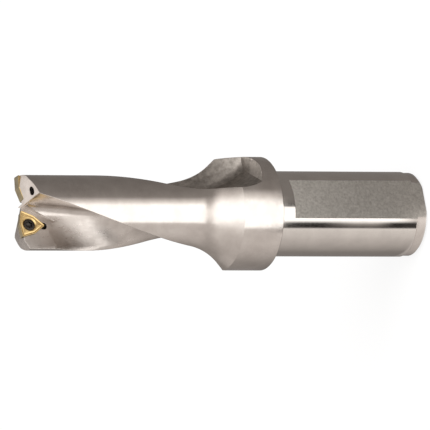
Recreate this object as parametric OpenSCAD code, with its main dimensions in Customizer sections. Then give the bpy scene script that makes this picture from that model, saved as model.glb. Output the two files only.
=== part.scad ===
// Indexable drill: a one-piece body that carries two screwed-on trigon inserts.
// The shank's end face lies on z = 0 and the cutting edges point up.
// Depths are measured down the axis from the foremost cutting point.

/* [Shank] */
// Diameter of the ground shank
shank_d = 32; // [28:0.5:40]
// Length of the shank behind the flange
shank_l = 62; // [56:1:75]
// Depth of the clamping flat below the shank's surface
flat_depth = 2; // [1:0.1:3]
// Length of full round shank between the flange and the flat
flat_gap = 7; // [4:0.5:12]
// Length of the relieved band at the shank's end
band_l = 4; // [2:0.5:8]
// Radial drop of the relieved band
band_drop = 0.35; // [0.1:0.05:0.8]
// Chamfer on the shank's end
end_chamfer = 0.8; // [0.3:0.1:1.5]

/* [Flange] */
// Diameter of the flange
flange_d = 42.6; // [40:0.1:50]
// Width of the flange's cylinder
flange_w = 16.3; // [15:0.1:22]
// Chamfer on the flange's rear edge
flange_chamfer = 0.3; // [0.1:0.1:1]

/* [Body] */
// Diameter that the peripheral insert cuts
drill_d = 28.5; // [27:0.1:30]
// Radial gap between the cut hole and the body
body_gap = 0.2; // [0.1:0.05:0.5]
// Length from the foremost cutting point to the flange's rear face
reach = 99.4; // [95:0.1:130]
// Angle between the axis and the cone that joins the body to the flange
cone_angle = 40; // [32:0.5:42]
// Radius of the fillet between the body and the cone
cone_fillet = 20; // [8:0.5:22]

/* [Flutes] */
// Lead of the helix that the flutes follow
lead = 250; // [220:5:320]
// Distance between the flange's rear face and the start of the flutes' run-out
runout_start = 44; // [42:0.5:50]
// Radius of the arc on which the flutes run out
runout_r = 54; // [50:1:80]
// Distance between the flange's rear face and the foot of the flutes' end walls
runout_end = 7.5; // [7:0.1:11]
// Angle between the axis and the flutes' end walls
end_angle = 78; // [65:1:80]
// Corner radius at the bottom of the central insert's flute
central_corner_r = 3.5; // [2:0.1:4.5]
// Distance of that flute's side wall from the axis
central_wall = 2.25; // [1.8:0.05:3]
// How far that flute's floor reaches past the axis
central_floor = 0.5; // [0:0.05:0.8]
// Angle at which that flute's hollow floor leaves its corner and meets the rim
central_hollow = 12.5; // [4:0.5:16]
// Corner radius at the bottom of the peripheral insert's flute
peripheral_corner_r = 5; // [3:0.1:7]
// How far that flute's side wall stays short of the axis
peripheral_wall = 4.2; // [3.8:0.05:6]
// How far that flute's floor stays short of the axis
peripheral_floor = 3.95; // [3.5:0.05:5]
// Angle at which that flute's hollow floor leaves its corner and meets the rim
peripheral_hollow = 3; // [2:0.5:8]

/* [Inserts] */
// Diameter of the circle inscribed in an insert
insert_ic = 7.94; // [7.6:0.01:8.2]
// Thickness of an insert
insert_t = 3.18; // [2.8:0.01:3.6]
// Nose radius of an insert's corners
nose_r = 0.5; // [0.4:0.1:1.2]
// Clearance angle of an insert's flanks
clearance_angle = 7; // [3:0.5:11]
// Angle by which an insert is turned to bring its outer edge forward
insert_tilt = 4; // [0:0.5:8]
// How far the central insert cuts past the axis
centre_overlap = 0.8; // [0.1:0.05:1.2]
// How far the peripheral insert stays behind the central one
peripheral_drop = 0.3; // [0:0.05:0.6]
// Height that an insert stands proud of the face around its seat
insert_proud = 0.9; // [0.5:0.05:1.3]
// Gap between an insert's flanks and its seat
seat_gap = 0.03; // [0.01:0.01:0.1]
// Diameter of the relief drilled at the rear corner of a seat
relief_d = 2.8; // [2:0.1:3]
// Length of the open recess along the body's rim, ahead of each insert
recess_l = 13.2; // [12:0.1:18]
// Depth of the chip groove in an insert's rake face
groove_depth = 0.25; // [0.1:0.05:0.4]
// Width of the edge land around the chip groove
edge_land = 0.8; // [0.5:0.05:1.1]

/* [Screws] */
// Diameter of an insert screw's thread
screw_d = 3; // [2.5:0.1:3.2]
// Diameter of a screw's countersunk head
head_d = 4.4; // [4.1:0.1:4.6]
// Depth of the head's top below the rake face
head_sink = 0.35; // [0.1:0.05:0.6]
// Length of a screw below its head's top
screw_l = 7.4; // [6.5:0.1:8]
// Gap between a screw and the hole through an insert
hole_gap = 0.2; // [0.1:0.05:0.3]
// Gap between a screw's head and its countersink
head_gap = 0.02; // [0.01:0.01:0.05]
// Gap between a screw's thread and its tapped hole
thread_gap = 0.02; // [0.01:0.01:0.05]

/* [Coolant] */
// Diameter of the coolant bore in the shank
bore_d = 8; // [6:0.5:9]
// Length of the coolant bore
bore_l = 71; // [68:0.5:73]
// Diameter of the coolant channel
channel_d = 3.2; // [2:0.1:3.4]
// Distance of the channel's outlet from the axis
outlet_r = 11.2; // [10:0.1:11.5]
// Distance of the channel from the axis within its land
channel_r = 8; // [7:0.1:9]

/* [Hidden] */
$fn = 64;

// Room by which a cutting shape passes a surface
past = 1;
shank_r = shank_d / 2;
flange_r = flange_d / 2;
body_r = drill_d / 2 - body_gap;
tip_z = shank_l + reach;
flange_front_z = shank_l + flange_w;

// Turn of the seam in the turned surfaces, away from the flat
seam_turn = -22.5;

// Trigon form: three 80 degree corners, and sides that break in the middle
corner_half = 40;
break_half = 10;
nose_steps = 3;
least_nose_r = 0.2;
insert_r = insert_ic / 2;
nose_reach = (insert_r - nose_r) / sin(corner_half);
break_reach = insert_r / cos(break_half);
insert_depth = break_reach * cos(insert_tilt);
central_r = nose_reach * sin(60 + insert_tilt) + nose_r - centre_overlap;
peripheral_r = drill_d / 2 - nose_reach * sin(60 - insert_tilt) - nose_r;

// Screw form: rim of the head, bevel at the thread's end and drive recess
head_r = head_d / 2;
head_rim = 0.15;
end_bevel = 0.4;
drive_r = 1.25;
drive_depth = 1.1;
lobe_r = 0.42;
lobe_out = 0.12;

// Front faces: a roof under each insert's edges, with relief behind it
central_drop = 1;
central_relief = 13;
central_inner_lean = break_half + insert_tilt;
central_outer_lean = break_half - insert_tilt / 2;
front_drop = 0.55;
peripheral_relief = 6;
peripheral_inner_lean = 12;
peripheral_outer_lean = 12;
rim_lean = 28;
rim_l = 3.2;
// Line between the two lands, at the web
split_dir = -40;
split_h = 0.9;
split_past = 0.05;

// Distance of a seat's corner relief behind the middle of the insert's nose
relief_out = 0.5;

// Recesses: the tail of the central one, and the inner end of the peripheral one
tail_r = 4.4;
tail_l = recess_l + 4.8;
wall_start = 3.2;
inner_gap = 0.8;
recess_lean = 25;

// Directions of the flutes' walls and floors in the plane of the foremost point
central_wall_dir = -85.7;
central_floor_dir = -162;
peripheral_wall_dir = -55;
peripheral_floor_dir = -175.4;
corner_steps = 8;
floor_steps = 6;
rim_steps = 2;
wall_step = 4;
wall_steps = 5;
// Most of the cone's length that its fillet may take
fillet_share = 0.95;
// Length of a flute's hollow floor, from its corner to just past the rim
floor_l = 0.85 * body_r;
helix_step = 2.4;
runout_steps = 11;
end_steps = 6;
central_end_dir = -124;
peripheral_end_dir = -145;

// Point angle of the drill that makes the coolant bore
drill_point = 118;

// Coolant channel: place in the land at the outlet and behind it
outlet_dir = -66;
land_dir = -25;
outlet_l = 20;
channel_step = 4;
channel_sides = 12;
join_l = 21;
join_r = 2;

function left_of(a) = [-sin(a), cos(a)];
function along(a) = [cos(a), sin(a)];
function turned(p, a) = [p[0] * cos(a) - p[1] * sin(a), p[0] * sin(a) + p[1] * cos(a)];

// Point at given distances from two lines through the axis
function crossing(n1, h1, n2, h2) =
    let (det = n1[0] * n2[1] - n1[1] * n2[0])
    [(h1 * n2[1] - h2 * n1[1]) / det, (n1[0] * h2 - n2[0] * h1) / det];

function twist_at(depth) = -360 * depth / lead;

// Section of a flute: side wall, rounded corner and hollow floor, closed well outside the flange
function flute_section(wall_dir, wall, floor_dir, floor_h, r, hollow) =
    let (
        n_wall = left_of(wall_dir),
        n_floor = left_of(floor_dir),
        centre = crossing(n_wall, wall - r, n_floor, floor_h + r),
        from = wall_dir + 90,
        to = floor_dir + 270 - hollow,
        floor_r = floor_l / (2 * hollow) * 180 / PI,
        floor_centre = centre + (r - floor_r) * along(to),
        rim = floor_centre + floor_r * along(to + 2 * hollow),
        far = 0.75 * flange_d
    )
    concat(
        [centre + r * n_wall + far * along(wall_dir)],
        [for (i = [wall_steps : -1 : 1]) centre + r * n_wall + i * wall_step * along(wall_dir)],
        [for (i = [0 : corner_steps]) centre + r * along(from + (to - from) * i / corner_steps)],
        [for (i = [1 : floor_steps]) floor_centre + floor_r * along(to + 2 * hollow * i / floor_steps)],
        [for (i = [1 : rim_steps]) rim + i * wall_step * along(floor_dir)],
        [rim + far * along(floor_dir)],
        [centre + far * (along(wall_dir) + along(floor_dir))]
    );

// Sections of a flute: depth, lift along the side wall and shift in the end wall
runout_depth = reach - runout_start;
runout_turn = asin((runout_start - runout_end) / runout_r);
end_rise = runout_r * (1 - cos(runout_turn));
helix_n = ceil((runout_depth + 2 * helix_step) / helix_step);
stations = concat(
    [for (i = [0 : helix_n - 1]) [-2 * helix_step + (runout_depth + 2 * helix_step) * i / helix_n, 0, 0]],
    [for (i = [0 : runout_steps])
        let (a = runout_turn * i / runout_steps)
        [runout_depth + runout_r * sin(a), runout_r * (1 - cos(a)), 0]],
    [for (i = [1 : end_steps])
        let (lift = flange_r * i / end_steps)
        [reach - runout_end + lift / tan(end_angle), end_rise, lift]]
);

// Skin over a stack of rings of equal length
module skin(rings) {
    n = len(rings[0]);
    last = len(rings) - 1;
    points = [for (ring = rings) each ring];
    sides = [for (k = [0 : last - 1], i = [0 : n - 1])
        let (j = (i + 1) % n)
        each [[k * n + i, k * n + j, (k + 1) * n + j], [k * n + i, (k + 1) * n + j, (k + 1) * n + i]]];
    caps = [[for (i = [n - 1 : -1 : 0]) i], [for (i = [0 : n - 1]) last * n + i]];
    polyhedron(points, concat(sides, caps));
}

module flute(section, wall_dir, end_dir) {
    skin([for (s = stations)
        [for (p = section)
            let (q = turned(p + s[1] * along(wall_dir) + s[2] * along(end_dir), twist_at(s[0])))
            [q[0], q[1], tip_z - s[0]]]]);
}

module central_flute() {
    flute(flute_section(central_wall_dir, central_wall, central_floor_dir, -central_floor,
        central_corner_r, central_hollow), central_wall_dir, central_end_dir);
}

module peripheral_flute() {
    rotate([0, 0, 180])
        flute(
            flute_section(peripheral_wall_dir, -peripheral_wall, peripheral_floor_dir,
                peripheral_floor, peripheral_corner_r, peripheral_hollow),
            peripheral_wall_dir, peripheral_end_dir);
}

// Outline of a trigon insert, moved in or out by an offset
function trigon(grow) =
    let (r = max(nose_r + grow, least_nose_r), nose_at = (insert_r + grow - r) / sin(corner_half))
    [for (k = [0 : 2])
        let (a = 30 + 120 * k)
        each concat(
            [for (i = [-nose_steps : nose_steps])
                nose_at * along(a) + r * along(a + i * (90 - corner_half) / nose_steps)],
            [(insert_r + grow) / cos(break_half) * along(a + 60)])];

function at_height(outline, z) = [for (p = outline) [p[0], p[1], z]];

// Solid of an insert, rake face up at z = 0
module trigon_solid(grow, depth) {
    skin([
        at_height(trigon(grow - depth * tan(clearance_angle)), -depth),
        at_height(trigon(grow), 0)
    ]);
}

// Puts an insert's frame at its place: rake face along the rotation, front break forward
module at_insert(radius, drop, turn) {
    rotate([0, 0, turn])
        translate([-radius, 0, tip_z - drop - insert_depth])
            rotate([90, 0, 0])
                rotate([0, 0, -insert_tilt])
                    children();
}

module at_central() {
    at_insert(central_r, 0, 0) children();
}

module at_peripheral() {
    at_insert(peripheral_r, peripheral_drop, 180) children();
}

// Insert with its chip groove and the countersunk hole for its screw
module insert_blank() {
    hole_r = screw_d / 2 + hole_gap;
    sink_r = head_r + head_gap;
    sink_depth = head_sink + head_rim;
    difference() {
        trigon_solid(0, insert_t);
        translate([0, 0, -groove_depth])
            linear_extrude(groove_depth + past)
                polygon(trigon(-edge_land));
        translate([0, 0, -insert_t - past])
            cylinder(r = hole_r, h = insert_t + 2 * past);
        translate([0, 0, -sink_depth - (sink_r - hole_r)])
            cylinder(r1 = hole_r, r2 = sink_r + sink_depth + past, h = sink_r - hole_r + sink_depth + past);
    }
}

// Countersunk screw with a six-lobed drive recess
module screw_blank() {
    thread_r = screw_d / 2;
    translate([0, 0, -head_sink])
        difference() {
            rotate_extrude()
                polygon([
                    [0, 0],
                    [head_r - head_rim, 0],
                    [head_r, -head_rim],
                    [thread_r, -head_rim - (head_r - thread_r)],
                    [thread_r, -screw_l + end_bevel],
                    [thread_r - end_bevel, -screw_l],
                    [0, -screw_l]
                ]);
            translate([0, 0, -drive_depth])
                linear_extrude(drive_depth + past)
                    difference() {
                        circle(r = drive_r);
                        for (k = [0 : 5])
                            translate((drive_r + lobe_out) * along(60 * k))
                                circle(r = lobe_r);
                    }
        }
}

// Cut for one insert: seat, rear corner relief and tapped hole
module seat_cut() {
    corner = (nose_reach + relief_out) * along(270);
    hole_r = screw_d / 2 + thread_gap;
    trigon_solid(seat_gap, insert_t);
    translate([corner[0], corner[1], -insert_t])
        cylinder(d = relief_d, h = insert_t);
    translate([0, 0, -head_sink - screw_l - past])
        cylinder(r = hole_r, h = screw_l);
}

// Turned blank of the body, from the shank's end to past the cutting edges
module turned_blank() {
    cone_h = (flange_r - body_r) / tan(cone_angle);
    fillet_r = min(cone_fillet, fillet_share * cone_h / tan(cone_angle / 2));
    fillet_h = fillet_r * tan(cone_angle / 2);
    fillet_z = flange_front_z + cone_h + fillet_h;
    fillet_steps = 8;
    rotate([0, 0, seam_turn])
        rotate_extrude()
            polygon(concat(
                [
                    [0, 0],
                    [shank_r - band_drop - end_chamfer, 0],
                    [shank_r - band_drop, end_chamfer],
                    [shank_r - band_drop, band_l],
                    [shank_r, band_l + band_drop],
                    [shank_r, shank_l],
                    [flange_r - flange_chamfer, shank_l],
                    [flange_r, shank_l + flange_chamfer],
                    [flange_r, flange_front_z]
                ],
                [for (i = [0 : fillet_steps])
                    let (a = cone_angle * (1 - i / fillet_steps))
                    [body_r + fillet_r * (1 - cos(a)), fillet_z - fillet_r * sin(a)]],
                [[body_r, tip_z + past], [0, tip_z + past]]
            ));
}

// Space ahead of a sloping front face, on one side of the line between the lands
module front_cut(at_r, drop, relief, lean, split) {
    size = 2 * drill_d;
    intersection() {
        translate([-at_r, insert_t, tip_z - drop])
            rotate([-relief, lean, 0])
                translate([-size, -size, 0])
                    cube([2 * size, 2 * size, size]);
        rotate([0, 0, split_dir])
            translate([split - size, -size, tip_z - size / 2])
                cube([size + split_past, 2 * size, size]);
    }
}

// Roof-shaped front of the land under the central insert, with a bevel at the rim
module central_front() {
    break_r = central_r - break_reach * sin(insert_tilt);
    rim_r = body_r - rim_l;
    rim_drop = central_drop + (rim_r - break_r) * tan(central_outer_lean);
    front_cut(break_r, central_drop, central_relief, central_inner_lean, split_h);
    front_cut(break_r, central_drop, central_relief, -central_outer_lean, split_h);
    front_cut(rim_r, rim_drop, central_relief, -rim_lean, split_h);
}

// Roof-shaped front of the land under the peripheral insert
module peripheral_front() {
    break_r = peripheral_r - break_reach * sin(insert_tilt);
    drop = peripheral_drop + front_drop;
    front_cut(break_r, drop, peripheral_relief, peripheral_inner_lean, -split_h);
    front_cut(break_r, drop, peripheral_relief, -peripheral_outer_lean, -split_h);
}

// Open space ahead of a face that lies a little below the rake face
module recess_cut(outline) {
    translate([0, insert_proud, 0])
        rotate([90, 0, 0])
            linear_extrude(drill_d)
                polygon([for (p = outline) [p[0], tip_z - p[1]]]);
}

module central_recess() {
    rim = -drill_d;
    recess_cut([
        [central_wall, -past],
        [central_wall, wall_start],
        [-tail_r, tail_l],
        [-body_r, recess_l],
        [rim, recess_l],
        [rim, -past]
    ]);
}

module peripheral_recess() {
    rim = -drill_d;
    inner = peripheral_r - nose_reach * sin(60 + insert_tilt) - nose_r - inner_gap;
    recess_cut([
        [-inner, -past],
        [-inner, recess_l - (body_r - inner) * tan(recess_lean)],
        [-body_r, recess_l],
        [rim, recess_l],
        [rim, -past]
    ]);
}

module flat_cut() {
    translate([-shank_d, -shank_d, -past])
        cube([2 * shank_d, shank_d - shank_r + flat_depth, shank_l - flat_gap + past]);
}

// Coolant bore with its inlet chamfer and drilled end
module bore_cut() {
    bore_r = bore_d / 2;
    translate([0, 0, -past])
        cylinder(r = bore_r, h = bore_l + past);
    translate([0, 0, bore_l])
        cylinder(r1 = bore_r, r2 = 0, h = bore_r / tan(drill_point / 2));
    translate([0, 0, -past])
        cylinder(r1 = bore_r + end_chamfer + past, r2 = bore_r, h = end_chamfer + past);
}

// Coolant channel that follows the helix through a land and ends in the bore
module channel() {
    end_depth = tip_z - bore_l + past;
    n = ceil((end_depth + past) / channel_step);
    skin([for (k = [0 : n])
        let (
            depth = -past + (end_depth + past) * k / n,
            out = max(0, 1 - max(0, depth) / outlet_l),
            in = max(0, (depth - end_depth + join_l) / join_l),
            land_r = channel_r + (outlet_r - channel_r) * out,
            r = land_r + (join_r - land_r) * in,
            a = land_dir + (outlet_dir - land_dir) * out + twist_at(depth),
            axis = r * along(a)
        )
        [for (i = [0 : channel_sides - 1])
            let (q = axis + channel_d / 2 * along(360 * i / channel_sides))
            [q[0], q[1], tip_z - depth]]]);
}

module drill_body() {
    color("#b5aca4")
        difference() {
            turned_blank();
            flat_cut();
            central_flute();
            peripheral_flute();
            central_front();
            rotate([0, 0, 180]) peripheral_front();
            central_recess();
            rotate([0, 0, 180]) peripheral_recess();
            at_central() seat_cut();
            at_peripheral() seat_cut();
            bore_cut();
            channel();
        }
}

module central_insert() {
    color("#d9b877")
        at_central() insert_blank();
}

module peripheral_insert() {
    color("#d9b877")
        at_peripheral() insert_blank();
}

module insert_screws() {
    color("#2b2a28") {
        at_central() screw_blank();
        at_peripheral() screw_blank();
    }
}

drill_body();
central_insert();
peripheral_insert();
insert_screws();
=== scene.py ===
"""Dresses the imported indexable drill: finely cut body, inserts, screws, materials, light and camera."""

import math

import bmesh
import bpy
import numpy as np
from mathutils import Matrix, Vector


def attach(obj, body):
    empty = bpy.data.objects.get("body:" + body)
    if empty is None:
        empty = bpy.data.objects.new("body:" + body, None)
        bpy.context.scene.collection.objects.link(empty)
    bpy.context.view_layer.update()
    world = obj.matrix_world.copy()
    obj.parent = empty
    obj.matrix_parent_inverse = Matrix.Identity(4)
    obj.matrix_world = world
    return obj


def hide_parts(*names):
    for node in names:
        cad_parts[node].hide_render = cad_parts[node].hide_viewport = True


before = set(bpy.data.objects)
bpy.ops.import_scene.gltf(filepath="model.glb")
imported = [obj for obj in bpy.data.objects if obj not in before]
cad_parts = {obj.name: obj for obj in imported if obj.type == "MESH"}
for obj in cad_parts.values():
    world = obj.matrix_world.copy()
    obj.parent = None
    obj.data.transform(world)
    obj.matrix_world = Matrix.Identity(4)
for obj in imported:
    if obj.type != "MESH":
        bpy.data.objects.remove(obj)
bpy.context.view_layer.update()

# Sizes in millimetres and angles in degrees, as in the part's source
MM = 0.001
PAST = 1.0
SHANK_R = 16.0
SHANK_L = 62.0
FLAT_Y = -14.0
FLAT_TOP = 55.0
BAND_L = 4.0
BAND_DROP = 0.35
END_CHAMFER = 0.8
FLANGE_R = 21.3
FLANGE_W = 16.3
FLANGE_CHAMFER = 0.3
DRILL_D = 28.5
BODY_R = 14.05
REACH = 99.4
TIP_Z = SHANK_L + REACH
CONE_ANGLE = 40.0
CONE_FILLET = 20.0

# Flutes
LEAD = 250.0
RUNOUT_START = 44.0
RUNOUT_R = 54.0
RUNOUT_END = 7.5
END_ANGLE = 78.0
FLOOR_L = 0.85 * BODY_R
CENTRAL_WALL = 2.25
CENTRAL_WALL_DIR = -85.7
CENTRAL_FLOOR = -0.5
CENTRAL_FLOOR_DIR = -162.0
CENTRAL_CORNER_R = 3.5
CENTRAL_HOLLOW = 12.5
CENTRAL_END_DIR = -124.0
PERIPHERAL_WALL = -4.2
PERIPHERAL_WALL_DIR = -55.0
PERIPHERAL_FLOOR = 3.95
PERIPHERAL_FLOOR_DIR = -175.4
PERIPHERAL_CORNER_R = 5.0
PERIPHERAL_HOLLOW = 3.0
PERIPHERAL_END_DIR = -145.0

# Inserts, seats and screws
CORNER_HALF = 40.0
BREAK_HALF = 10.0
INSERT_R = 3.97
INSERT_T = 3.18
NOSE_R = 0.5
LEAST_NOSE_R = 0.12
CLEARANCE = 7.0
TILT = 4.0
CENTRE_OVERLAP = 0.8
PERIPHERAL_DROP = 0.3
INSERT_PROUD = 0.9
SEAT_GAP = 0.03
RELIEF_D = 2.8
RELIEF_OUT = 0.5
SCREW_R = 1.5
HEAD_R = 2.2
HEAD_SINK = 0.35
SCREW_L = 7.4
HOLE_GAP = 0.2
THREAD_GAP = 0.02
SINK_R = 2.72

# Recesses
RECESS_L = 13.2
RECESS_LEAN = 25.0
TAIL_R = 4.4
TAIL_L = RECESS_L + 4.8
WALL_START = 3.2
INNER_GAP = 0.8

# Front faces, and the line between the two lands
CENTRAL_DROP = 1.0
CENTRAL_RELIEF = 13.0
CENTRAL_INNER_LEAN = BREAK_HALF + TILT
CENTRAL_OUTER_LEAN = BREAK_HALF - TILT / 2
RIM_LEAN = 28.0
RIM_L = 3.2
FRONT_DROP = 0.55
PERIPHERAL_RELIEF = 6.0
PERIPHERAL_LEAN = 12.0
SPLIT_DIR = -40.0
SPLIT_H = 0.9
SPLIT_PAST = 0.05

# Coolant
BORE_R = 4.0
BORE_L = 71.0
CHANNEL_D = 3.2
CHANNEL_R = 8.0
CHANNEL_L = 30.0
OUTLET_R = 11.2
OUTLET_DIR = -66.0
LAND_DIR = -25.0
OUTLET_L = 20.0

# Fineness of the meshes
BLANK_SIDES = 200
BLANK_STEP = 2.0
FILLET_STEPS = 14
EDGE_R = 0.18
SECTION_STEP = 1.5
TUBE_SIDES = 48
DIRECTIONS = 180
WELD = 4e-6

# Room that a cutter takes outside the part
CUT_HALF = 40.0
CUT_LONG = 60.0

NOSE_REACH = (INSERT_R - NOSE_R) / math.sin(math.radians(CORNER_HALF))
BREAK_REACH = INSERT_R / math.cos(math.radians(BREAK_HALF))
INSERT_DEPTH = BREAK_REACH * math.cos(math.radians(TILT))
CENTRAL_AT = NOSE_REACH * math.sin(math.radians(60 + TILT)) + NOSE_R - CENTRE_OVERLAP
PERIPHERAL_AT = DRILL_D / 2 - NOSE_REACH * math.sin(math.radians(60 - TILT)) - NOSE_R


# Small geometry helpers
def along(a):
    return np.array([math.cos(math.radians(a)), math.sin(math.radians(a))])


def left_of(a):
    return np.array([-math.sin(math.radians(a)), math.cos(math.radians(a))])


def circle(radius, sides):
    return [radius * along(360 * i / sides) for i in range(sides)]


def turn_matrix(axis, degrees):
    return Matrix.Rotation(math.radians(degrees), 4, axis)


def make(name, verts, faces, place=Matrix.Identity(4)):
    """Mesh object from points in millimetres, put in place by a matrix in millimetres."""
    mesh = bpy.data.meshes.new(name)
    pts = [(place @ Vector(v)) * MM for v in verts]
    mesh.from_pydata(pts, [], faces)
    bm = bmesh.new()
    bm.from_mesh(mesh)
    bmesh.ops.recalc_face_normals(bm, faces=bm.faces)
    bm.to_mesh(mesh)
    bm.free()
    obj = bpy.data.objects.new(name, mesh)
    bpy.context.scene.collection.objects.link(obj)
    return obj


def skin(name, rings, place=Matrix.Identity(4), closed=False):
    """Solid over a stack of rings; closed joins the last ring to the first, or else the ends are capped."""
    n = len(rings[0])
    verts = [tuple(p) for ring in rings for p in ring]
    faces = []
    for k in range(len(rings) if closed else len(rings) - 1):
        a = k * n
        b = (k + 1) % len(rings) * n
        faces += [(a + i, a + (i + 1) % n, b + (i + 1) % n, b + i) for i in range(n)]
    if not closed:
        faces.append(tuple(range(n - 1, -1, -1)))
        faces.append(tuple((len(rings) - 1) * n + i for i in range(n)))
    return make(name, verts, faces, place)


def level(outline, z):
    return [(p[0], p[1], z) for p in outline]


def tube(name, radius, z0, z1, place=Matrix.Identity(4)):
    ring = circle(radius, TUBE_SIDES)
    return skin(name, [level(ring, z0), level(ring, z1)], place)


def lathe(name, profile, sides):
    """Solid of revolution about Z; the profile's first and last points lie on the axis."""
    inner = profile[1:-1]
    verts = [(0, 0, profile[0][1]), (0, 0, profile[-1][1])]
    for r, z in inner:
        verts += level(circle(r, sides), z)
    faces = []
    last = 2 + (len(inner) - 1) * sides
    for i in range(sides):
        j = (i + 1) % sides
        faces.append((0, 2 + j, 2 + i))
        faces.append((1, last + i, last + j))
        for k in range(len(inner) - 1):
            a = 2 + k * sides
            faces.append((a + i, a + j, a + sides + j, a + sides + i))
    return make(name, verts, faces)


def rounded(points, radius, steps=3, least_turn=9, most=0.36, hold=0.3):
    """Polyline with its inner corners rounded; points held just beyond each rounding keep the faces flat."""
    out = [points[0]]
    for a, b, c in zip(points, points[1:], points[2:]):
        a, b, c = np.array(a, float), np.array(b, float), np.array(c, float)
        before, after = np.linalg.norm(a - b), np.linalg.norm(c - b)
        u, v = (a - b) / before, (c - b) / after
        angle = math.acos(max(-1.0, min(1.0, float(u @ v))))
        if math.pi - angle < math.radians(least_turn):
            out.append(tuple(b))
            continue
        reach = min(radius / math.tan(angle / 2), most * before, most * after)
        p, q = b + u * reach, b + v * reach
        out.append(tuple(p + u * hold * reach))
        for i in range(steps + 1):
            t = i / steps
            out.append(tuple((1 - t) ** 2 * p + 2 * t * (1 - t) * b + t ** 2 * q))
        out.append(tuple(q + v * hold * reach))
    out.append(points[-1])
    return out


def finely(points, step):
    """Polyline with its long stretches above the flange's rear face divided."""
    out = [points[0]]
    for a, b in zip(points, points[1:]):
        n = 1
        if min(a[1], b[1]) > SHANK_L and min(a[0], b[0]) > PAST:
            n = max(1, math.ceil(math.dist(a, b) / step))
        out += [(a[0] + (b[0] - a[0]) * i / n, a[1] + (b[1] - a[1]) * i / n) for i in range(1, n + 1)]
    return out


# Body: turned blank
fillet_h = CONE_FILLET * math.tan(math.radians(CONE_ANGLE / 2))
cone_h = (FLANGE_R - BODY_R) / math.tan(math.radians(CONE_ANGLE))
fillet_z = SHANK_L + FLANGE_W + cone_h + fillet_h
corners = [
    (0, 0),
    (SHANK_R - BAND_DROP - END_CHAMFER, 0),
    (SHANK_R - BAND_DROP, END_CHAMFER),
    (SHANK_R - BAND_DROP, BAND_L),
    (SHANK_R, BAND_L + BAND_DROP),
    (SHANK_R, SHANK_L),
    (FLANGE_R - FLANGE_CHAMFER, SHANK_L),
    (FLANGE_R, SHANK_L + FLANGE_CHAMFER),
    (FLANGE_R, SHANK_L + FLANGE_W),
]
for i in range(FILLET_STEPS + 1):
    a = math.radians(CONE_ANGLE * (1 - i / FILLET_STEPS))
    corners.append((BODY_R + CONE_FILLET * (1 - math.cos(a)), fillet_z - CONE_FILLET * math.sin(a)))
corners += [(BODY_R, TIP_Z + PAST), (0, TIP_Z + PAST)]
profile = finely(rounded(corners, EDGE_R), BLANK_STEP)
body = lathe("drill", profile, BLANK_SIDES)


# Body: flutes
def section(wall_dir, wall, floor_dir, floor_h, r, hollow):
    """Side wall, rounded corner and hollow floor of a flute, closed well outside the flange."""
    wall_steps, corner_steps, floor_steps, rim_steps = 14, 16, 14, 6
    n_wall, n_floor = left_of(wall_dir), left_of(floor_dir)
    centre = np.linalg.solve(np.array([n_wall, n_floor]), np.array([wall - r, floor_h + r]))
    first = wall_dir + 90
    last = floor_dir + 270 - hollow
    floor_r = FLOOR_L / math.radians(2 * hollow)
    floor_centre = centre + (r - floor_r) * along(last)
    rim = floor_centre + floor_r * along(last + 2 * hollow)
    foot = centre + r * n_wall
    far = 1.5 * FLANGE_R
    pts = [foot + far * along(wall_dir)]
    pts += [foot + SECTION_STEP * i * along(wall_dir) for i in range(wall_steps, 0, -1)]
    pts += [centre + r * along(first + (last - first) * i / corner_steps) for i in range(corner_steps + 1)]
    for i in range(1, floor_steps + 1):
        pts.append(floor_centre + floor_r * along(last + 2 * hollow * i / floor_steps))
    pts += [rim + SECTION_STEP * i * along(floor_dir) for i in range(1, rim_steps + 1)]
    pts += [rim + far * along(floor_dir)]
    pts += [centre + far * (along(wall_dir) + along(floor_dir))]
    return pts


def flute(name, pts, wall_dir, end_dir, turn):
    """Flute that follows the helix, lifts out on an arc and ends at a steep wall."""
    lead_in, helix_steps, runout_steps, end_steps = 5.0, 50, 30, 12
    start = REACH - RUNOUT_START
    sweep = math.asin((RUNOUT_START - RUNOUT_END) / RUNOUT_R)
    rise = RUNOUT_R * (1 - math.cos(sweep))
    slope = math.tan(math.radians(END_ANGLE))
    stations = [(-lead_in + (start + lead_in) * i / helix_steps, 0.0, 0.0) for i in range(helix_steps)]
    for i in range(runout_steps + 1):
        a = sweep * i / runout_steps
        stations.append((start + RUNOUT_R * math.sin(a), RUNOUT_R * (1 - math.cos(a)), 0.0))
    for i in range(1, end_steps + 1):
        shift = FLANGE_R * i / end_steps
        stations.append((REACH - RUNOUT_END + shift / slope, rise, shift))
    rings = []
    for depth, lift, shift in stations:
        c, s = along(turn - 360 * depth / LEAD)
        moved = [p + lift * along(wall_dir) + shift * along(end_dir) for p in pts]
        rings.append([(q[0] * c - q[1] * s, q[0] * s + q[1] * c, TIP_Z - depth) for q in moved])
    return skin(name, rings)


central_section = section(
    CENTRAL_WALL_DIR, CENTRAL_WALL, CENTRAL_FLOOR_DIR, CENTRAL_FLOOR, CENTRAL_CORNER_R, CENTRAL_HOLLOW)
peripheral_section = section(
    PERIPHERAL_WALL_DIR, PERIPHERAL_WALL, PERIPHERAL_FLOOR_DIR, PERIPHERAL_FLOOR, PERIPHERAL_CORNER_R,
    PERIPHERAL_HOLLOW)
cutters = [
    flute("cut_flute_1", central_section, CENTRAL_WALL_DIR, CENTRAL_END_DIR, 0),
    flute("cut_flute_2", peripheral_section, PERIPHERAL_WALL_DIR, PERIPHERAL_END_DIR, 180),
]


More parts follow.
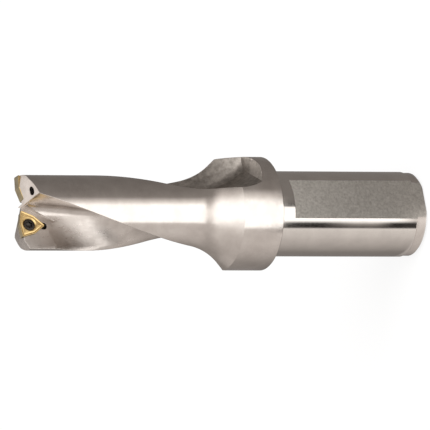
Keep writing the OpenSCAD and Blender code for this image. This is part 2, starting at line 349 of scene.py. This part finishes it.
# Body: front faces and recesses
def front_cut(name, at_r, drop, relief, lean, split, turn):
    """Space above a sloping plane, on one side of the line between the lands."""
    tilt = turn_matrix("Y", lean) @ turn_matrix("X", -relief)
    normal = tilt @ Vector((0, 0, 1))
    u, v = along(SPLIT_DIR), left_of(SPLIT_DIR)
    near = split + SPLIT_PAST
    away = near - CUT_LONG
    rect = [
        near * u - CUT_HALF * v,
        near * u + CUT_HALF * v,
        away * u + CUT_HALF * v,
        away * u - CUT_HALF * v,
    ]
    low = []
    for p in rect:
        fall = (normal.x * (p[0] + at_r) + normal.y * (p[1] - INSERT_T)) / normal.z
        low.append((p[0], p[1], TIP_Z - drop - fall))
    return skin(name, [low, level(rect, TIP_Z + CUT_LONG)], turn_matrix("Z", turn))


def recess_cut(name, outline, turn):
    rings = [[(x, y, TIP_Z - d) for x, d in outline] for y in (INSERT_PROUD, INSERT_PROUD - DRILL_D)]
    return skin(name, rings, turn_matrix("Z", turn))


break_shift = BREAK_REACH * math.sin(math.radians(TILT))
break_r = CENTRAL_AT - break_shift
rim_r = BODY_R - RIM_L
rim_drop = CENTRAL_DROP + (rim_r - break_r) * math.tan(math.radians(CENTRAL_OUTER_LEAN))
cutters += [
    front_cut("cut_front_1", break_r, CENTRAL_DROP, CENTRAL_RELIEF, CENTRAL_INNER_LEAN, SPLIT_H, 0),
    front_cut("cut_front_2", break_r, CENTRAL_DROP, CENTRAL_RELIEF, -CENTRAL_OUTER_LEAN, SPLIT_H, 0),
    front_cut("cut_front_3", rim_r, rim_drop, CENTRAL_RELIEF, -RIM_LEAN, SPLIT_H, 0),
]
break_r = PERIPHERAL_AT - break_shift
front_drop = PERIPHERAL_DROP + FRONT_DROP
cutters += [
    front_cut("cut_front_4", break_r, front_drop, PERIPHERAL_RELIEF, PERIPHERAL_LEAN, -SPLIT_H, 180),
    front_cut("cut_front_5", break_r, front_drop, PERIPHERAL_RELIEF, -PERIPHERAL_LEAN, -SPLIT_H, 180),
]
outside = [(-BODY_R, RECESS_L), (-DRILL_D, RECESS_L), (-DRILL_D, -PAST)]
cutters.append(recess_cut("cut_recess_1", [
    (CENTRAL_WALL, -PAST), (CENTRAL_WALL, WALL_START), (-TAIL_R, TAIL_L), *outside], 0))
inner = PERIPHERAL_AT - NOSE_REACH * math.sin(math.radians(60 + TILT)) - NOSE_R - INNER_GAP
inner_l = RECESS_L - (BODY_R - inner) * math.tan(math.radians(RECESS_LEAN))
cutters.append(recess_cut("cut_recess_2", [(-inner, -PAST), (-inner, inner_l), *outside], 180))


# Body: seats with their corner reliefs and tapped holes
def insert_place(radius, drop, turn):
    return (
        turn_matrix("Z", turn)
        @ Matrix.Translation((-radius, 0, TIP_Z - drop - INSERT_DEPTH))
        @ turn_matrix("X", 90)
        @ turn_matrix("Z", -TILT)
    )


def trigon(grow, steps=8):
    """Outline of an insert, moved in or out by an offset."""
    r = max(NOSE_R + grow, LEAST_NOSE_R)
    nose_at = (INSERT_R + grow - r) / math.sin(math.radians(CORNER_HALF))
    break_at = (INSERT_R + grow) / math.cos(math.radians(BREAK_HALF))
    nose_half = 90 - CORNER_HALF
    out = []
    for k in range(3):
        a = 30 + 120 * k
        out += [nose_at * along(a) + r * along(a + nose_half * i / steps) for i in range(-steps, steps + 1)]
        out.append(break_at * along(a + 60))
    return out


places = {
    "central": insert_place(CENTRAL_AT, 0, 0),
    "peripheral": insert_place(PERIPHERAL_AT, PERIPHERAL_DROP, 180),
}
FLARE = math.tan(math.radians(CLEARANCE))
RELIEF_TOP = 0.5
relief_at = (NOSE_REACH + RELIEF_OUT) * along(270)
for name, place in places.items():
    seat = [level(trigon(SEAT_GAP + z * FLARE), z) for z in (-INSERT_T, 0.0)]
    relief_place = place @ Matrix.Translation((*relief_at, 0))
    thread_end = -HEAD_SINK - SCREW_L - PAST
    cutters.append(skin("cut_seat_" + name, seat, place))
    cutters.append(tube("cut_relief_" + name, RELIEF_D / 2, -INSERT_T, RELIEF_TOP, relief_place))
    cutters.append(tube("cut_thread_" + name, SCREW_R + THREAD_GAP, thread_end, -PAST, place))


# Body: coolant channel, bore with its mouth, and clamping flat
def channel(name):
    steps, sides = 40, 32
    rings = []
    for k in range(steps + 1):
        depth = -PAST + CHANNEL_L * k / steps
        out = max(0.0, 1 - max(0.0, depth) / OUTLET_L)
        r = CHANNEL_R + (OUTLET_R - CHANNEL_R) * out
        a = LAND_DIR + (OUTLET_DIR - LAND_DIR) * out - 360 * depth / LEAD
        rings.append(level([r * along(a) + p for p in circle(CHANNEL_D / 2, sides)], TIP_Z - depth))
    return skin(name, rings)


mouth = [
    level(circle(BORE_R + END_CHAMFER + PAST, TUBE_SIDES), -PAST),
    level(circle(BORE_R, TUBE_SIDES), END_CHAMFER),
]
flat = [(-CUT_HALF, -CUT_HALF), (CUT_HALF, -CUT_HALF), (CUT_HALF, FLAT_Y), (-CUT_HALF, FLAT_Y)]
cutters += [
    channel("cut_channel"),
    tube("cut_bore", BORE_R, -PAST, BORE_L),
    skin("cut_mouth", mouth),
    skin("cut_flat", [level(flat, -PAST), level(flat, FLAT_TOP)]),
]

for cutter in cutters:
    mod = body.modifiers.new(cutter.name, "BOOLEAN")
    mod.operation = "DIFFERENCE"
    mod.solver = "MANIFOLD"
    mod.object = cutter
graph = bpy.context.evaluated_depsgraph_get()
cut_mesh = bpy.data.meshes.new_from_object(body.evaluated_get(graph))
body.modifiers.clear()
body.data = cut_mesh
welded = bmesh.new()
welded.from_mesh(cut_mesh)
bmesh.ops.remove_doubles(welded, verts=welded.verts, dist=WELD)
bmesh.ops.dissolve_degenerate(welded, edges=welded.edges, dist=WELD)
welded.to_mesh(cut_mesh)
welded.free()
for cutter in cutters:
    bpy.data.objects.remove(cutter)


# Inserts and screws, lofted over rings that share their directions
def polar(outline):
    """Distance of a star-shaped outline from the middle, in each shared direction."""
    pts = np.array(outline)
    ang = np.degrees(np.arctan2(pts[:, 1], pts[:, 0])) % 360
    order = np.argsort(ang)
    pts, ang = pts[order], ang[order]
    out = []
    for i in range(DIRECTIONS):
        a = 360 * i / DIRECTIONS
        k = int(np.searchsorted(ang, a, side="right"))
        p, q = pts[k - 1], pts[k % len(pts)]
        d = along(a)
        cross = (q[0] - p[0]) * d[1] - (q[1] - p[1]) * d[0]
        out.append(((q[1] - p[1]) * p[0] - (q[0] - p[0]) * p[1]) / cross)
    return np.abs(np.array(out))


def ring_at(radii, z):
    radii = np.broadcast_to(radii, (DIRECTIONS,))
    return level([r * along(360 * i / DIRECTIONS) for i, r in enumerate(radii)], z)


def insert(name, place):
    """Insert with a broken bottom edge, honed cutting edge, chip groove and countersunk hole."""
    hole = SCREW_R + HOLE_GAP
    bevel, hone, face = 0.12, 0.06, -0.05
    rake = [
        (-0.02, -0.015), (-0.06, 0.0), (-0.24, 0.0), (-0.30, -0.03), (-0.52, -0.16), (-0.66, -0.19),
        (-0.78, -0.16), (-0.90, -0.07), (-0.96, face),
    ]
    countersink = [(SINK_R + 0.06, face), (SINK_R - 0.02, -0.11), (hole + 0.05, -1.02), (hole, -1.1)]
    rings = [
        ring_at(hole, -INSERT_T),
        ring_at(polar(trigon(-INSERT_T * FLARE - bevel)), -INSERT_T),
        ring_at(polar(trigon(-(INSERT_T - bevel) * FLARE)), -INSERT_T + bevel),
        ring_at(polar(trigon(-hone * FLARE)), -hone),
    ]
    rings += [ring_at(polar(trigon(grow)), z) for grow, z in rake]
    rings += [ring_at(r, z) for r, z in countersink]
    return skin(name, rings, place, closed=True)


def screw(name, place):
    """Countersunk screw with a six-lobed drive recess."""
    drive_r, lobe, lobes, bevel = 1.13, 0.15, 6, 0.4
    angles = [math.radians(lobes * 360 * i / DIRECTIONS) for i in range(DIRECTIONS)]
    drive = np.array([drive_r + lobe * math.cos(a) for a in angles])
    shape = [
        (SCREW_R - bevel, -SCREW_L), (SCREW_R, -SCREW_L + bevel), (SCREW_R, -0.85), (HEAD_R - 0.02, -0.17),
        (HEAD_R, -0.13), (HEAD_R - 0.03, -0.06), (HEAD_R - 0.12, 0.0), (drive + 0.10, 0.0),
        (drive + 0.03, -0.02), (drive, -0.09), (drive - 0.03, -0.95), (0.55, -1.15), (0.1, -1.22),
    ]
    return skin(name, [ring_at(r, z - HEAD_SINK) for r, z in shape], place)


central_insert = insert("insert_central", places["central"])
peripheral_insert = insert("insert_peripheral", places["peripheral"])
screws = [screw("screw_central", places["central"]), screw("screw_peripheral", places["peripheral"])]
bpy.ops.object.select_all(action="DESELECT")
for s in screws:
    s.select_set(True)
bpy.context.view_layer.objects.active = screws[0]
bpy.ops.object.join()
screw_pair = bpy.context.view_layer.objects.active
screw_pair.name = "screws"


# Shader helpers
def material(name, color, metallic, roughness):
    m = bpy.data.materials.new(name)
    m.use_nodes = True
    shader = m.node_tree.nodes["Principled BSDF"]
    shader.inputs["Base Color"].default_value = (*color, 1)
    shader.inputs["Metallic"].default_value = metallic
    shader.inputs["Roughness"].default_value = roughness
    return m, m.node_tree, shader


def node(tree, kind, **values):
    n = tree.nodes.new(kind)
    for key, value in values.items():
        if key in n.inputs:
            n.inputs[key].default_value = value
        else:
            setattr(n, key, value)
    return n


def noise(tree, stretch, scale, detail):
    """Noise in object space, stretched along the axes; a unit of stretch is a metre."""
    coord = node(tree, "ShaderNodeTexCoord")
    mapping = node(tree, "ShaderNodeMapping", Scale=stretch)
    tex = node(tree, "ShaderNodeTexNoise", Scale=scale, Detail=detail, Roughness=0.6)
    tree.links.new(coord.outputs["Object"], mapping.inputs["Vector"])
    tree.links.new(mapping.outputs["Vector"], tex.inputs["Vector"])
    return tex.outputs["Fac"]


def ramp(tree, source, stops):
    r = node(tree, "ShaderNodeValToRGB")
    elements = r.color_ramp.elements
    while len(elements) > 1:
        elements.remove(elements[-1])
    for i, (pos, color) in enumerate(stops):
        e = elements[0] if i == 0 else elements.new(pos)
        e.position = pos
        e.color = (*color, 1)
    tree.links.new(source, r.inputs["Fac"])
    return r.outputs["Color"]


def dot(tree, vector, source):
    n = node(tree, "ShaderNodeVectorMath", operation="DOT_PRODUCT")
    n.inputs[1].default_value = vector
    tree.links.new(source, n.inputs[0])
    return n.outputs["Value"]


def span(tree, source, low, high):
    n = node(tree, "ShaderNodeMapRange")
    n.inputs["From Min"].default_value = low
    n.inputs["From Max"].default_value = high
    tree.links.new(source, n.inputs["Value"])
    return n.outputs["Result"]


def reckon(tree, operation, a, b):
    n = node(tree, "ShaderNodeMath", operation=operation)
    for socket, value in zip(n.inputs, (a, b)):
        if isinstance(value, float):
            socket.default_value = value
        else:
            tree.links.new(value, socket)
    return n.outputs["Value"]


def mix_color(tree, factor, a, b):
    n = node(tree, "ShaderNodeMix", data_type="RGBA")
    tree.links.new(factor, n.inputs[0])
    tree.links.new(a, n.inputs[6])
    tree.links.new(b, n.inputs[7])
    return n.outputs[2]


def mix_shader(tree, factor, a, b):
    n = node(tree, "ShaderNodeMixShader")
    tree.links.new(factor, n.inputs[0])
    tree.links.new(a, n.inputs[1])
    tree.links.new(b, n.inputs[2])
    return n.outputs["Shader"]


# Materials
NOISE_LOW, NOISE_HIGH = 0.3, 0.7
GRAIN_DEPTH = 0.00005


def satin(tree, shader, dark, light, rough, grain, depth, spread, round_r):
    """Mottled tone, uneven roughness, fine grain and rounded edges for a metal shader."""
    smooth, coarse = [(v, v, v) for v in rough]
    tone = noise(tree, (1, 1, 1), spread, 6)
    tree.links.new(ramp(tree, tone, [(NOISE_LOW, dark), (NOISE_HIGH, light)]), shader.inputs["Base Color"])
    blur = noise(tree, grain, 1.0, 5)
    tree.links.new(ramp(tree, blur, [(NOISE_LOW, smooth), (NOISE_HIGH, coarse)]), shader.inputs["Roughness"])
    edge = node(tree, "ShaderNodeBevel", Radius=round_r * MM, samples=6)
    bump = node(tree, "ShaderNodeBump", Strength=depth, Distance=GRAIN_DEPTH)
    tree.links.new(noise(tree, grain, 2.3, 3), bump.inputs["Height"])
    tree.links.new(edge.outputs["Normal"], bump.inputs["Normal"])
    tree.links.new(bump.outputs["Normal"], shader.inputs["Normal"])


def finish(name, dark, light, rough, **marks):
    m, tree, shader = material(name, light, 1.0, rough[0])
    satin(tree, shader, dark, light, rough, **marks)
    return m


turned = finish(
    "turned_nickel", (0.56, 0.51, 0.47), (0.66, 0.61, 0.565), (0.11, 0.18),
    grain=(250, 250, 2600), depth=0.12, spread=160, round_r=0.25)
milled = finish(
    "milled_nickel", (0.51, 0.46, 0.42), (0.65, 0.595, 0.55), (0.25, 0.35),
    grain=(700, 700, 160), depth=0.36, spread=220, round_r=0.25)
# Near-black metal for the seats' corner reliefs: painted shade in the holes
relief_shade = finish(
    "relief_hole_painted_shade", (0.04, 0.036, 0.032), (0.10, 0.09, 0.08), (0.4, 0.55),
    grain=(900, 900, 900), depth=0.4, spread=700, round_r=0.05)
ground = finish(
    "ground_shank", (0.60, 0.56, 0.52), (0.68, 0.635, 0.59), (0.08, 0.13),
    grain=(120, 120, 3200), depth=0.08, spread=120, round_r=0.2)
milled_flat = finish(
    "milled_flat", (0.58, 0.55, 0.50), (0.86, 0.83, 0.77), (0.30, 0.42),
    grain=(900, 300, 700), depth=0.6, spread=1100, round_r=0.2)
gold = finish(
    "coated_carbide", (0.66, 0.46, 0.20), (0.80, 0.60, 0.29), (0.32, 0.42),
    grain=(900, 900, 900), depth=0.35, spread=500, round_r=0.08)
# Darker, rougher copy of the insert gold for the flanks: painted shade
flank_shade = finish(
    "flank_painted_shade", (0.20, 0.165, 0.10), (0.34, 0.28, 0.175), (0.34, 0.46),
    grain=(900, 900, 900), depth=0.35, spread=500, round_r=0.08)
black = finish(
    "black_steel", (0.035, 0.031, 0.028), (0.075, 0.066, 0.058), (0.28, 0.38),
    grain=(900, 900, 900), depth=0.25, spread=900, round_r=0.06)

# Between these heights in metres the milled faces turn from darker and coarser to fine; the coarser grain is
# milling, the darker colour is painted shade
SHADED_COARSE_TO_FINE = (0.089, 0.103)
tree = milled.node_tree
coarse = node(tree, "ShaderNodeBsdfPrincipled", Metallic=1.0)
# Coarser milling whose darker base colour is painted shade in the run-out
satin(
    tree, coarse, (0.26, 0.235, 0.21), (0.52, 0.475, 0.43), (0.30, 0.44),
    grain=(420, 420, 1500), depth=0.8, spread=520, round_r=0.25)
up = dot(tree, (0, 0, 1), node(tree, "ShaderNodeTexCoord").outputs["Object"])
fine = tree.nodes["Principled BSDF"]
both = mix_shader(tree, span(tree, up, *SHADED_COARSE_TO_FINE), coarse.outputs["BSDF"], fine.outputs["BSDF"])
tree.links.new(both, tree.nodes["Material Output"].inputs["Surface"])

# Finish of each face of the body, by its place; faces in the corner reliefs get a near-black material,
# painted shade
TURNED, MILLED, GROUND, FLAT, RELIEF_SHADE = range(5)
NEAR_PROFILE = 0.05
NEAR_CORNER = 0.25
body.data.materials.clear()
for m in (turned, milled, ground, milled_flat, relief_shade):
    body.data.materials.append(m)
radii, heights = np.array(profile[1:-1]).T
to_seats = [place.inverted() for place in places.values()]


def in_relief(face):
    """Whether all corners of a face lie in the corner relief of one of the seats."""
    for to_seat in to_seats:
        points = [to_seat @ (body.data.vertices[v].co / MM) for v in face.vertices]
        beside = all(math.dist(p.xy, relief_at) < RELIEF_D / 2 + 0.02 for p in points)
        if beside and all(-INSERT_T - 0.1 < p.z < 0 for p in points):
            return True
    return False


def finish_of(face):
    x, y, z = face.center / MM
    r = math.hypot(x, y)
    off_profile = abs(np.interp(z, heights, radii) - r)
    off_corners = np.min(np.hypot(heights - z, radii - r))
    on_turned = off_profile < NEAR_PROFILE or off_corners < NEAR_CORNER
    # Faces inside a corner relief take the near-black painted shade
    if in_relief(face):
        return RELIEF_SHADE
    if y < FLAT_Y + 0.05 and z < FLAT_TOP + 0.1 and abs(face.normal.y) > 0.9:
        return FLAT
    if not on_turned:
        return MILLED
    return GROUND if BAND_L + BAND_DROP < z < SHANK_L + 0.05 else TURNED


for face in body.data.polygons:
    face.material_index = finish_of(face)

body.data.shade_smooth()
body.data.set_sharp_from_angle(angle=math.radians(24))
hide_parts("drill_body")
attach(body, "root")
for obj, cad, slot, look in (
    (central_insert, "central_insert", "insert", gold),
    (peripheral_insert, "peripheral_insert", "insert", gold),
    (screw_pair, "insert_screws", "screw", black),
):
    obj.data.materials.append(look)
    obj.data.shade_smooth()
    obj.data.set_sharp_from_angle(angle=math.radians(34))
    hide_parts(cad)
    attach(obj, "root")

# Flanks of the inserts: steep faces away from the hole, duller than the rake faces and coloured a darker
# brown-gold, painted shade
FLANK_FROM = 3.0
FLANK_STEEP = 0.5
for obj, place in ((central_insert, places["central"]), (peripheral_insert, places["peripheral"])):
    obj.data.materials.append(flank_shade)
    axis = place.to_3x3() @ Vector((0, 0, 1))
    for face in obj.data.polygons:
        out = (face.center / MM - place.translation).cross(axis).length
        steep = abs(face.normal.dot(axis)) < FLANK_STEEP
        face.material_index = 1 if steep and out > FLANK_FROM else 0

# Camera: turned so that the standing drill lies across the frame, tip to the left
AZIMUTH = math.radians(-23.2)
ELEVATION = math.radians(24.75)
ROLL = math.radians(-0.234)
IMAGE_PX = 430
PIXELS_PER_MM = 2.667
DISTANCE = 4000.0
SENSOR = 36.0
# Pixel at which the middle of the flange's rear face shows
TARGET_PX = (260.6, 213.73)
back = Vector((
    math.sin(AZIMUTH) * math.cos(ELEVATION),
    -math.cos(AZIMUTH) * math.cos(ELEVATION),
    math.sin(ELEVATION),
))
level_up = Vector((math.cos(AZIMUTH), math.sin(AZIMUTH), 0))
level_right = -back.cross(level_up)
image_up = level_up * math.cos(ROLL) + level_right * math.sin(ROLL)
image_right = level_right * math.cos(ROLL) - level_up * math.sin(ROLL)
eye = Vector((0, 0, SHANK_L)) + back * DISTANCE
eye -= image_right * ((TARGET_PX[0] - IMAGE_PX / 2) / PIXELS_PER_MM)
eye -= image_up * ((IMAGE_PX / 2 - TARGET_PX[1]) / PIXELS_PER_MM)
camera = bpy.data.objects.new("camera", bpy.data.cameras.new("camera"))
bpy.context.scene.collection.objects.link(camera)
camera.data.sensor_width = SENSOR
camera.data.lens = SENSOR * DISTANCE * PIXELS_PER_MM / IMAGE_PX
camera.data.clip_start = 0.1
camera.data.clip_end = 100
camera.matrix_world = Matrix((
    (image_right.x, image_up.x, back.x, eye.x * MM),
    (image_right.y, image_up.y, back.y, eye.y * MM),
    (image_right.z, image_up.z, back.z, eye.z * MM),
    (0, 0, 0, 1),
))
bpy.context.scene.camera = camera

# Surroundings as the metal sees them: a white panel ahead, dimmer to its sides
PANEL_DIR = math.radians(-113.2)
WARMTH = (0.0, 0.08, 0.13)
GLOSS_STRENGTH = 2.0


def stop(degrees, value):
    """Place on a ramp and its colour, warmer the darker it is."""
    return (0.5 + degrees / 360, tuple(value * (1 - w * (1 - value)) for w in WARMTH))


BY_THE_BAND = [
    stop(-180, 0.15), stop(-90, 0.38), stop(-40, 0.48), stop(-15, 0.6), stop(5, 0.32), stop(44, 0.15),
    stop(180, 0.12),
]
UNDERSIDE = [
    stop(-180, 0.12), stop(-150, 0.13), stop(-129, 0.15), stop(-108, 0.235), stop(-91, 0.30),
    stop(-77, 0.345), stop(-63, 0.41), stop(-48, 0.46), stop(-40.5, 0.52),
]
BY_THE_END = UNDERSIDE + [
    stop(-37.5, 0.03), stop(-25, 0.03), stop(-17, 0.5), stop(0, 0.32), stop(44, 0.15), stop(180, 0.12),
]
BY_THE_SHANK = UNDERSIDE + [
    stop(-37.5, 0.02), stop(-25, 0.02), stop(-17, 1.0), stop(17, 1.0), stop(21, 0.05), stop(44, 0.13),
    stop(110, 0.13), stop(180, 0.12),
]
BY_THE_MIDDLE = UNDERSIDE + [
    stop(-37.5, 0.07), stop(-33, 0.12), stop(-27, 0.24), stop(-17, 1.0), stop(17, 1.0), stop(21, 0.05),
    stop(44, 0.13), stop(110, 0.13), stop(180, 0.12),
]
BY_THE_BODY = [
    stop(-180, 0.14), stop(-160, 0.15), stop(-114, 0.20), stop(-94, 0.30), stop(-78, 0.365),
    stop(-62, 0.415), stop(-45, 0.41), stop(-31, 0.46), stop(-26, 1.0), stop(24, 1.0), stop(34, 0.6),
    stop(50, 0.18), stop(75, 0.14), stop(110, 0.12), stop(160, 0.11), stop(180, 0.14),
]
HORIZON = [
    stop(-180, 0.14), stop(-110, 0.23), stop(-70, 0.31), stop(-31, 0.40), stop(-9, 0.74), stop(6, 0.78),
    stop(30, 0.36), stop(50, 0.17), stop(110, 0.12), stop(180, 0.14),
]
OVERHEAD = [
    stop(-180, 0.62), stop(-150, 0.55), stop(-110, 0.30), stop(-75, 0.36), stop(-45, 0.48), stop(-12, 1.0),
    stop(30, 1.0), stop(52, 0.45), stop(75, 0.14), stop(135, 0.10), stop(160, 0.45), stop(180, 0.62),
]
# Distances from the axis in metres over which each painted reflection band on the floor gives way to the
# next
PAINTED_BANDS = [
    (0.0247, 0.0255, BY_THE_END),
    (0.028, 0.045, BY_THE_SHANK),
    (0.046, 0.062, BY_THE_MIDDLE),
    (0.082, 0.108, BY_THE_SHANK),
    (0.1495, 0.1515, BY_THE_BODY),
    (0.37, 1.3, HORIZON),
]
# Steepness of a look upwards over which the horizon gives way to the panel, and that to the ceiling
HORIZON_TO_PANEL = (0.05, 0.32)
PANEL_TO_CEILING = (0.15, 0.42)


def heading(tree, vector):
    """Direction round the drill's axis in radians, zero at the panel."""
    across = dot(tree, (-math.sin(PANEL_DIR), math.cos(PANEL_DIR), 0), vector)
    ahead = dot(tree, (math.cos(PANEL_DIR), math.sin(PANEL_DIR), 0), vector)
    return reckon(tree, "ARCTAN2", across, ahead)


def around(tree, angle, stops):
    return ramp(tree, span(tree, angle, -math.pi, math.pi), stops)


# Floor: pale, white to the camera apart from the drill's shadow; to glossy rays it glows in bands, painted
# reflections for the metal
FLOOR_SIZE = 60
FLOOR_Z = -0.0005
FLOOR_GLOW = 0.85
bpy.ops.mesh.primitive_plane_add(size=FLOOR_SIZE, location=(0, 0, FLOOR_Z))
floor = bpy.context.object
floor.name = "floor"
paper, tree, shader = material("floor_paper", (0.9, 0.9, 0.9), 0.0, 0.9)
shader.inputs["Specular IOR Level"].default_value = 0
spot = node(tree, "ShaderNodeNewGeometry").outputs["Position"]
length = node(tree, "ShaderNodeVectorMath", operation="LENGTH")
tree.links.new(spot, length.inputs[0])
far = length.outputs["Value"]
# A ray off the shank starts beside the axis, so close by it lands at a smaller bearing than it has
widen = reckon(tree, "DIVIDE", far, reckon(tree, "SUBTRACT", far, SHANK_R / 2 * MM))
bearing = reckon(tree, "MULTIPLY", heading(tree, spot), widen)
painted_bands = around(tree, bearing, BY_THE_BAND)
for near, away, stops in PAINTED_BANDS:
    painted_bands = mix_color(tree, span(tree, far, near, away), painted_bands, around(tree, bearing, stops))
# Glow seen only by glossy rays: painted reflection bands on the metal
painted_reflection = node(tree, "ShaderNodeEmission", Strength=GLOSS_STRENGTH)
tree.links.new(painted_bands, painted_reflection.inputs["Color"])
glow = node(tree, "ShaderNodeEmission", Color=(1, 1, 1, 1), Strength=1.0)
rays = node(tree, "ShaderNodeLightPath")
share = reckon(tree, "MULTIPLY", rays.outputs["Is Camera Ray"], FLOOR_GLOW)
seen = mix_shader(tree, share, shader.outputs["BSDF"], glow.outputs["Emission"])
seen = mix_shader(tree, rays.outputs["Is Glossy Ray"], seen, painted_reflection.outputs["Emission"])
tree.links.new(seen, tree.nodes["Material Output"].inputs["Surface"])
floor.data.materials.append(paper)

# World: the same panel higher up, with a pale ceiling
world = bpy.data.worlds.new("studio")
bpy.context.scene.world = world
world.use_nodes = True
tree = world.node_tree
tree.nodes.clear()
look = node(tree, "ShaderNodeTexCoord").outputs["Generated"]
height = dot(tree, (0, 0, 1), look)
bearing = heading(tree, look)
rising = span(tree, height, *HORIZON_TO_PANEL)
sky = mix_color(tree, rising, around(tree, bearing, HORIZON), around(tree, bearing, BY_THE_BODY))
sky = mix_color(tree, span(tree, height, *PANEL_TO_CEILING), sky, around(tree, bearing, OVERHEAD))
surround = node(tree, "ShaderNodeBackground", Strength=GLOSS_STRENGTH)
tree.links.new(sky, surround.inputs["Color"])
white = node(tree, "ShaderNodeBackground", Color=(1, 1, 1, 1), Strength=1.0)
rays = node(tree, "ShaderNodeLightPath")
seen = mix_shader(
    tree, rays.outputs["Is Camera Ray"], surround.outputs["Background"], white.outputs["Background"])
out = node(tree, "ShaderNodeOutputWorld")
tree.links.new(seen, out.inputs["Surface"])

# Lamp: a soft key light that gives the shadow on the floor
KEY_ENERGY = 1.6
KEY_ANGLE = math.radians(40)
toward = image_up * 0.55 + back * 0.55 + Vector((0, 0, 0.9))
key = bpy.data.lights.new("key", "SUN")
key.energy = KEY_ENERGY
key.angle = KEY_ANGLE
key_obj = bpy.data.objects.new("key", key)
key_obj.visible_glossy = False
bpy.context.scene.collection.objects.link(key_obj)
key_obj.rotation_mode = "QUATERNION"
key_obj.rotation_quaternion = toward.to_track_quat("Z", "Y")

bpy.context.scene.view_settings.view_transform = "Standard"
